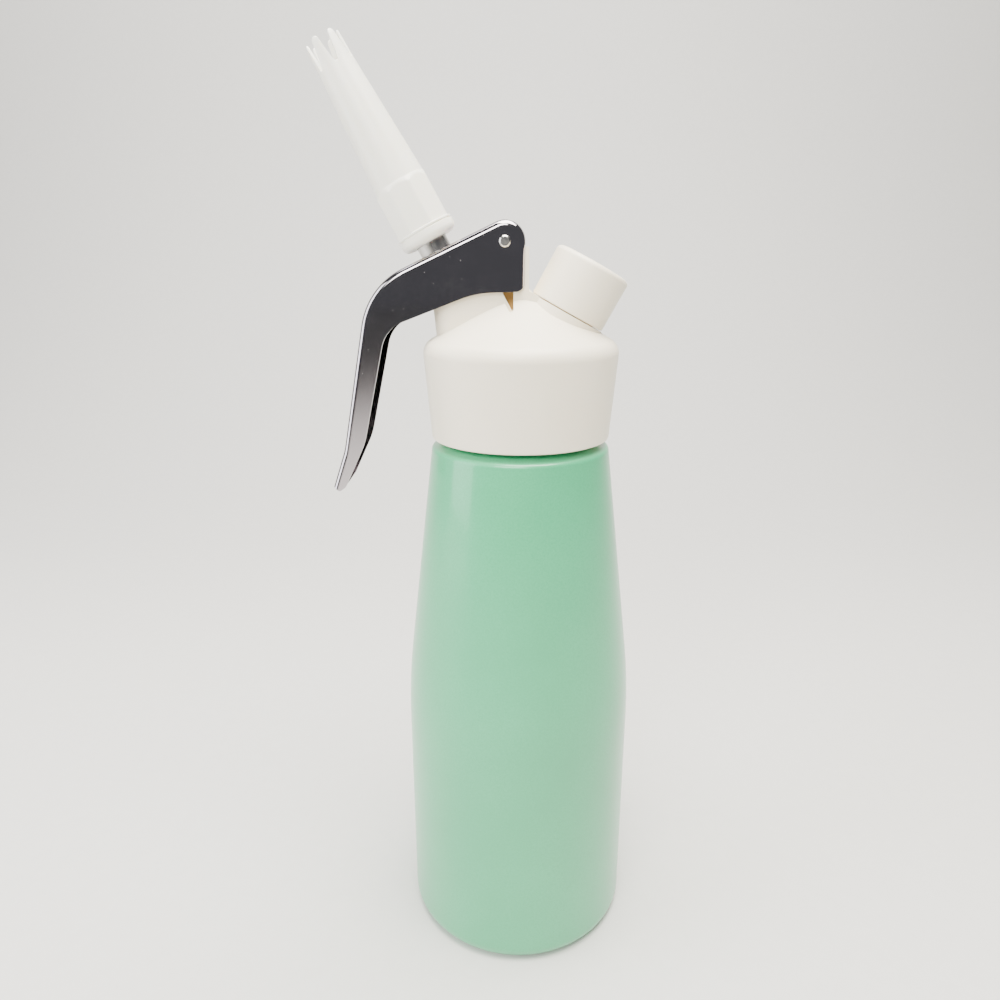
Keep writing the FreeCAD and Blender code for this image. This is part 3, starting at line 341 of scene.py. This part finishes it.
bottleEnamel = enamel()
shellPlastic = mouldedPlastic("shellPlastic", {
    "pale": "#f3ebd8", "deep": "#ede4cf", "cloud": 18, "grain": 0.7, "grainDepth": 0.004, "gloss": 0.32,
    "matt": 0.42, "inside": 0.12, "reach": 2.0})
nozzlePlastic = mouldedPlastic("nozzlePlastic", {
    "pale": "#f8f6ec", "deep": "#f3f1e5", "cloud": 12, "grain": 0.6, "grainDepth": 0.003, "gloss": 0.26,
    "matt": 0.36, "inside": 0.3, "reach": 3.0})
leverChrome = chrome()
turnedSteel = metal("turnedSteel", {
    "pale": "#c9c7c4", "deep": "#b7b5b2", "smudge": 4, "stretch": (1, 1, 6), "line": 0.5, "lineDepth": 0.002,
    "gloss": 0.18, "matt": 0.3})
springWire = metal("springWire", {
    "pale": "#b9b9bc", "deep": "#a5a5a9", "smudge": 3, "stretch": (1, 1, 1), "line": 0.4, "lineDepth": 0.002,
    "gloss": 0.22, "matt": 0.34})
machinedBrass = metal("machinedBrass", {
    "metal": 0.5, "pale": "#edc17c", "deep": "#dcae68", "smudge": 5, "stretch": (1, 1, 5), "line": 0.5,
    "lineDepth": 0.003, "gloss": 0.28, "matt": 0.4})
sinteredBrass = metal("sinteredBrass", {
    "pale": "#c9a468", "deep": "#8f7040", "smudge": 1, "stretch": (1, 1, 1), "line": 0.3, "lineDepth": 0.05,
    "gloss": 0.5, "matt": 0.65})
bareAluminium = metal("bareAluminium", {
    "pale": "#cfd0d1", "deep": "#bcbdbf", "smudge": 8, "stretch": (1, 1, 8), "line": 0.6, "lineDepth": 0.003,
    "gloss": 0.3, "matt": 0.42})
sealRubber = rubber()
print("finishes ready")


# Bottle: pressed aluminium, painted outside up to the neck

def makeBottle():
    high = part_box("bottle")[1]
    bottle = {"radius": high.x / mm, "neckTop": high.z / mm, "wall": 1.5, "footRound": 5.4,
              "straightTop": 94.0, "bodyRound": 216.0, "taperRadius": 29.6, "taperTop": 180.4,
              "shoulderRound": 1.8, "neckRadius": 25.0, "neckFoot": 182.6, "neckFootRound": 0.3,
              "neckWall": 2.4, "lipRound": 0.6, "neckRootRound": 0.5, "insideShoulderRound": 1.0,
              "ringInner": 24.0, "ringOuter": 27.0, "ringDepth": 0.8, "ringRound": 0.25, "heelTop": 0.9,
              "heelInset": 6, "paintTop": 182.7, "columns": 192}
    wall = bottle["wall"]
    radius = bottle["radius"]
    taper = bottle["taperRadius"]
    neck = bottle["neckRadius"]
    bore = neck - bottle["neckWall"]
    straight = bottle["straightTop"]
    ringRound = bottle["ringRound"]
    profile = roundedOutline([
        (0, 0), (bottle["ringInner"], 0, ringRound), (bottle["ringInner"], bottle["ringDepth"]),
        (bottle["ringOuter"], bottle["ringDepth"]), (bottle["ringOuter"], 0, ringRound),
        (radius, 0, bottle["footRound"]), (radius, straight, bottle["bodyRound"]),
        (taper, bottle["taperTop"], bottle["shoulderRound"]),
        (neck, bottle["neckFoot"], bottle["neckFootRound"]),
        (neck, bottle["neckTop"], bottle["lipRound"]), (bore, bottle["neckTop"], bottle["lipRound"]),
        (bore, bottle["neckFoot"] - wall, bottle["neckRootRound"]),
        (taper - wall, bottle["taperTop"] - wall, bottle["insideShoulderRound"]),
        (radius - wall, straight, bottle["bodyRound"] - wall),
        (radius - wall, wall, bottle["footRound"] - wall), (0, wall),
    ], steps=12)
    piece = turned("bottle_body", profile, bottlePlace, bottle["columns"])
    finishPiece(piece, "bottle", bottleEnamel, ["bottle"])
    piece.data.materials.append(bareAluminium)
    centres = np.zeros(len(piece.data.polygons) * 3)
    piece.data.polygons.foreach_get("center", centres)
    centres = centres.reshape(-1, 3) / mm
    # bare metal: the neck, and every face nearer to the axis than the middle of the wall
    heights = [0, bottle["heelTop"], straight, bottle["taperTop"], bottle["paintTop"]]
    radii = [0, radius - bottle["heelInset"], radius, taper, neck]
    outside = np.interp(centres[:, 2], heights, radii) - wall / 2
    reach = np.hypot(centres[:, 0], centres[:, 1])
    bare = (centres[:, 2] > bottle["paintTop"]) | ((centres[:, 2] > wall / 2) & (reach < outside))
    piece.data.polygons.foreach_set("material_index", bare.astype(np.int32))
    ridge = threadRidge("bottle_thread", bottlePlace, {
        "low": 187.5, "high": 200.5, "pitch": 4.0, "width": 1.9, "radius": neck, "rise": 0.7})
    finishPiece(ridge, "bottle", bareAluminium)


# Spring: one wire, five turns, squeezed by the stem's collar

def makeSpring():
    spring = {"wire": 1.1, "radius": 4.8, "turns": 5.0, "top": -8.2, "foot": -19.8, "keep": 0.69,
              "rows": 361, "sides": 14}
    along = np.linspace(0, 1, spring["rows"])[:, None]
    section = np.linspace(0, 2 * math.pi, spring["sides"], endpoint=False)[None]
    angle = along * spring["turns"] * 2 * math.pi + section * 0
    radius = spring["radius"] + spring["wire"] / 2 * np.cos(section) + along * 0
    climb = spring["top"] - spring["foot"]
    height = spring["foot"] + along * climb + spring["wire"] / 2 * np.sin(section)
    piece = makePiece("valve_spring_wire", around(valvePlace, radius, angle, height), sharpAbove=60)
    finishPiece(piece, "head", springWire, ["valve_spring"])
    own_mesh(piece)


# Nozzle: moulded tip, eight sided grip, six teeth with blunt tips

def crownHeights(nozzle, angle):
    # Height of the top edge round the tip. The distance from the nearest slot's middle sets it: flat at the
    # slot's foot, a steep side, then a half round tip on the tooth.
    pitch = 2 * math.pi / nozzle["teeth"]
    mean = (nozzle["tipRadius"] + nozzle["tipBore"]) / 2
    offset = angle % pitch
    reach = mean * np.minimum(np.abs(offset - pitch / 2), pitch / 2)
    middle = mean * pitch / 2
    tip = nozzle["toothTip"]
    slot = nozzle["slotFoot"]
    side = np.interp(reach, [0, slot * nozzle["slotFlat"], slot, middle - tip],
                     [0, 0, slot / 2, nozzle["toothHeight"] - tip])
    crown = np.sqrt(np.clip(tip ** 2 - (middle - reach) ** 2, 0, None))
    top = nozzle["toothHeight"] - tip + crown
    return nozzle["length"] - nozzle["toothHeight"] + np.where(reach < middle - tip, side, top)


def makeNozzle():
    nozzle = {"length": 64.0, "footRadius": 9.2, "footRound": 2.2, "gripFoot": 4.4, "gripFootRise": 0.25,
              "gripTop": 17.9, "gripTopRadius": 8.9, "gripRound": 1.2, "gripEase": 1.6, "easeRound": 1.5,
              "flat": 8.35, "sides": 8, "draft": 0.01, "bodyRadius": 8.2, "plainTop": 42.0, "tipRadius": 5.7,
              "tipThin": 0.35, "teeth": 6, "toothHeight": 8.2, "toothTip": 1.05, "toothTurn": 13.0,
              "slotFoot": 0.6, "slotFlat": 0.7, "socket": 5.3, "socketDepth": 9.7, "throat": 4.1,
              "throatTop": 14.0, "tipBore": 4.7, "groove": 3.5, "grooveWidth": 0.5, "grooveCut": 0.35,
              "grooveSlope": 0.05, "grooveRound": 0.1, "rows": 21}
    # the lip over each tooth: share of the way through the wall, and rise in millimetres
    lip = np.array([[0.08, 0.1], [0.25, 0.25], [0.75, 0.25], [0.92, 0.1]])
    lipRise = lip[:, 1].max()
    pitch = 2 * math.pi / nozzle["teeth"]
    mean = (nozzle["tipRadius"] + nozzle["tipBore"]) / 2
    middle = mean * pitch / 2
    slotStart = middle - nozzle["slotFoot"]
    # half a tooth from its middle to the slot's middle: its tip, its side and the slot's foot
    tooth = np.concatenate([np.linspace(0, nozzle["toothTip"], 7)[:-1],
                            np.linspace(nozzle["toothTip"], slotStart, 8)[:-1],
                            np.linspace(slotStart, middle, 4)]) / mean
    one = np.concatenate([tooth, pitch - tooth[-2:0:-1]])
    fromTooth = (np.arange(nozzle["teeth"])[:, None] * pitch + one[None]).reshape(-1)
    angle = fromTooth + math.radians(nozzle["toothTurn"])
    columns = len(angle)
    length = nozzle["length"]
    root = length - nozzle["toothHeight"]
    plain = nozzle["plainTop"]
    foot = nozzle["footRadius"]

    def outside(height):
        return np.interp(height, [nozzle["gripTop"] + nozzle["gripEase"], root, length],
                         [nozzle["bodyRadius"], nozzle["tipRadius"], nozzle["tipRadius"] - nozzle["tipThin"]])

    def inside(height):
        return np.interp(height, [nozzle["throatTop"], root], [nozzle["throat"], nozzle["tipBore"]])

    deep = foot - nozzle["grooveCut"]
    groove = nozzle["groove"]
    grooveTop = groove + nozzle["grooveWidth"]
    slope = nozzle["grooveSlope"]
    draft = nozzle["draft"]
    easeTop = nozzle["gripTop"] + nozzle["gripEase"]
    # the foot narrows upwards by a few times draft, so that none of its sides is quite upright
    outer = roundedOutline([
        (nozzle["socket"], 0), (foot, 0, nozzle["footRound"]),
        (foot - draft * 2, groove, nozzle["grooveRound"]), (deep, groove + slope),
        (deep, grooveTop - slope), (foot - draft * 3, grooveTop, nozzle["grooveRound"]),
        (foot - draft * 4, nozzle["gripFoot"]),
        (foot - draft * 5, nozzle["gripFoot"] + nozzle["gripFootRise"]),
        (nozzle["gripTopRadius"], nozzle["gripTop"], nozzle["gripRound"]),
        (nozzle["bodyRadius"], easeTop, nozzle["easeRound"]), (float(outside(plain)), plain),
    ])
    radius = np.repeat(outer[:, :1], columns, 1)
    height = np.repeat(outer[:, 1:], columns, 1)
    # flat of a regular polygon at the angle v from its middle: radius = flat / cos v
    face = 2 * math.pi / nozzle["sides"]
    flat = nozzle["flat"] / np.cos((angle + face / 2) % face - face / 2)
    gripStart = nozzle["gripFoot"] + nozzle["gripFootRise"] / 2
    onGrip = (height > gripStart) & (height < easeTop)
    radius = np.where(onGrip, np.minimum(radius, flat[None]), radius)
    # above the plain part the rows rise evenly to the crown's edge, over the lip and down inside
    crown = crownHeights(nozzle, fromTooth)[None]
    rise = np.linspace(0, 1, nozzle["rows"] + 1)[1:, None]
    upper = plain + rise * (crown - lipRise - plain)
    lipHeight = crown - lipRise + lip[:, 1:]
    lipRadius = outside(lipHeight) + (inside(lipHeight) - outside(lipHeight)) * lip[:, :1]
    lower = upper[::-1]
    inner = np.array([(inside(plain), plain), (nozzle["throat"], nozzle["throatTop"]),
                      (nozzle["throat"], nozzle["socketDepth"]), (nozzle["socket"], nozzle["socketDepth"])])
    boreRadius = np.repeat(inner[:, :1], columns, 1)
    boreHeight = np.repeat(inner[:, 1:], columns, 1)
    radius = np.vstack([radius, outside(upper), lipRadius, inside(lower), boreRadius])
    height = np.vstack([height, upper, lipHeight, lower, boreHeight])
    points = around(valvePlace, radius, np.repeat(angle[None], len(radius), 0), height)
    piece = makePiece("nozzle_tip", points, wrapRows=True, sharpAbove=28)
    finishPiece(piece, "nozzle", nozzlePlastic, ["nozzle"])
    ridge = threadRidge("stem_thread", valvePlace, {
        "low": 0.9, "high": 7.6, "pitch": 1.5, "width": 0.9, "radius": 5.0, "rise": 0.22})
    finishPiece(ridge, "stem", turnedSteel)


# Port cap and the boss it screws on

def makePortCap():
    cap = {"radius": 12.65, "length": 17.0, "crownRound": 1.6, "rimRound": 0.5, "bore": 10.0, "crown": 2.5,
           "ceilingRound": 0.6, "boreRimRound": 0.3}
    ceiling = cap["length"] - cap["crown"]
    profile = roundedOutline([
        (0, ceiling), (cap["bore"], ceiling, cap["ceilingRound"]), (cap["bore"], 0, cap["boreRimRound"]),
        (cap["radius"], 0, cap["rimRound"]), (cap["radius"], cap["length"], cap["crownRound"]),
        (0, cap["length"]),
    ])
    body = turned("port_cap_body", profile, portPlace)
    finishPiece(body, "cap", shellPlastic, ["port_cap"])
    boss = {"low": 3.0, "high": 11.6, "pitch": 2.0, "width": 1.1, "radius": 9.5, "rise": 0.32}
    finishPiece(threadRidge("charger_thread", portPlace, boss), "head", machinedBrass)


# CAD nodes that keep their shape: a merged, smoothly shaded copy of each

def smoothCopy(node, body, slot, finish, edgeRound=0):
    copy = {"sharpAbove": 28, "roundAbove": 40, "roundSteps": 2, "faceWeight": 100}
    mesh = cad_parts[node].data.copy()
    mesh.name = node + "_skin"
    closeUp(mesh, samePackedCorner)
    if "custom_normal" in mesh.attributes:
        mesh.attributes.remove(mesh.attributes["custom_normal"])
    mesh.shade_smooth()
    mesh.set_sharp_from_angle(angle=math.radians(copy["sharpAbove"]))
    piece = bpy.data.objects.new(node + "_skin", mesh)
    bpy.context.scene.collection.objects.link(piece)
    if edgeRound:
        eased = piece.modifiers.new("easedEdges", "BEVEL")
        eased.width = edgeRound * mm
        eased.segments = copy["roundSteps"]
        eased.limit_method = "ANGLE"
        eased.angle_limit = math.radians(copy["roundAbove"])
    weighted = piece.modifiers.new("flatFacesStayFlat", "WEIGHTED_NORMAL")
    weighted.keep_sharp = True
    weighted.weight = copy["faceWeight"]
    return finishPiece(piece, body, finish, [node])


keptNodes = [
    ("head_shell", "head", "shell_plastic", shellPlastic, 0.3), ("head_core", "head", "brass", machinedBrass),
    ("lever", "lever", "lever_chrome", leverChrome, 0.22), ("lever_pin", "head", "steel", turnedSteel),
    ("pin_clip", "head", "steel", springWire), ("head_gasket", "gasket", "seal_rubber", sealRubber),
    ("valve_stem", "stem", "steel", turnedSteel), ("stem_collar", "stem", "steel", turnedSteel),
    ("spring_washer", "head", "steel", turnedSteel), ("gland_bush", "head", "brass", machinedBrass),
    ("stem_rings", "head", "seal_rubber", sealRubber), ("valve_seal", "stem", "seal_rubber", sealRubber),
    ("valve_nut", "stem", "brass", machinedBrass),
    ("nozzle_washer", "nozzle_seal", "seal_rubber", sealRubber),
    ("cap_washer", "cap_seal", "seal_rubber", sealRubber), ("piercing_pin", "head", "steel", turnedSteel),
    ("gas_filter", "head", "brass", sinteredBrass), ("charger_gasket", "head", "seal_rubber", sealRubber),
    ("nonreturn_valve", "head", "seal_rubber", sealRubber),
]

makeBottle()
print("bottle made")
makeSpring()
makeNozzle()
makePortCap()
print("nozzle, spring and cap made")
for keptNode in keptNodes:
    smoothCopy(*keptNode)
print("kept nodes dressed")


# Floor, lights and camera

def makeFloor():
    # A sheet that runs level, then up in a quarter round: x = u, (y, z) along the outline.
    floor = {"front": -4000, "back": 900, "bend": 500, "top": 1500, "half": 4000, "columns": 9,
             "pale": "#d8d7d4", "deep": "#d2d1ce", "grain": 6, "matt": 0.75}
    outline = roundedOutline([
        (floor["front"], 0), (floor["back"], 0, floor["bend"]), (floor["back"], floor["top"]),
    ])
    across = np.linspace(-floor["half"], floor["half"], floor["columns"])
    points = np.zeros((len(outline), len(across), 3))
    points[..., 0] = across[None]
    points[..., 1] = outline[:, :1]
    points[..., 2] = outline[:, 1:]
    mesh = bpy.data.meshes.new("floor")
    faces = gridFaces(len(outline), len(across), False, False)[:, ::-1]
    mesh.from_pydata((points.reshape(-1, 3) * mm).tolist(), [], faces.tolist())
    mesh.shade_smooth()
    material, tree, place = startMaterial("paleFloor")
    grain = noise(tree, place, floor["grain"], 4.0)
    colour = blendColours(tree, grain, floor["deep"], floor["pale"])
    shader = addNode(tree, "BsdfPrincipled", {"Base Color": colour, "Roughness": floor["matt"]})
    finishMaterial(tree, shader)
    mesh.materials.append(material)
    sheet = bpy.data.objects.new("floor", mesh)
    bpy.context.scene.collection.objects.link(sheet)


def makeLight(name, place, target, size, power, colour):
    lamp = bpy.data.lights.new(name, "AREA")
    lamp.shape = "RECTANGLE"
    lamp.size = size[0] * mm
    lamp.size_y = size[1] * mm
    lamp.energy = power
    lamp.color = linear(colour)[:3]
    holder = bpy.data.objects.new(name, lamp)
    holder.location = Vector(place) * mm
    holder.rotation_euler = (Vector(target) - Vector(place)).to_track_quat("-Z", "Y").to_euler()
    bpy.context.scene.collection.objects.link(holder)


def makeCamera():
    # Looks level with Y, pitched down, just in front of the bottle and at the height of the head.
    camera = {"place": (-6.79, -254.19, 239.19), "pitch": 17.18, "lens": 27.72, "sensor": 36.0}
    data = bpy.data.cameras.new("camera")
    data.lens = camera["lens"]
    data.sensor_width = camera["sensor"]
    data.clip_start = 0.01
    holder = bpy.data.objects.new("camera", data)
    holder.location = Vector(camera["place"]) * mm
    holder.rotation_euler = (math.radians(90 - camera["pitch"]), 0, 0)
    bpy.context.scene.collection.objects.link(holder)
    bpy.context.scene.camera = holder


def makeRoom():
    room = {"colour": "#dfe3ea", "strength": 0.18}
    world = bpy.data.worlds.new("room")
    world.use_nodes = True
    inputs = world.node_tree.nodes["Background"].inputs
    inputs["Color"].default_value = linear(room["colour"])
    inputs["Strength"].default_value = room["strength"]
    bpy.context.scene.world = world


# name, place, target, size, watts, colour
lights = [
    ("overhead", (60, -120, 900), (0, 0, 150), (600, 600), 27, "#fffaf0"),
    ("leftSoft", (-800, -200, 420), (0, 0, 180), (500, 800), 8, "#fbfcff"),
    ("frontSoft", (-250, -900, 800), (0, 0, 240), (700, 400), 14, "#fffdf8"),
    ("backdropSoft", (0, 300, 1300), (0, 900, 300), (1500, 400), 13, "#ffffff"),
]

makeFloor()
for light in lights:
    makeLight(*light)
makeRoom()
makeCamera()
print("stage ready")
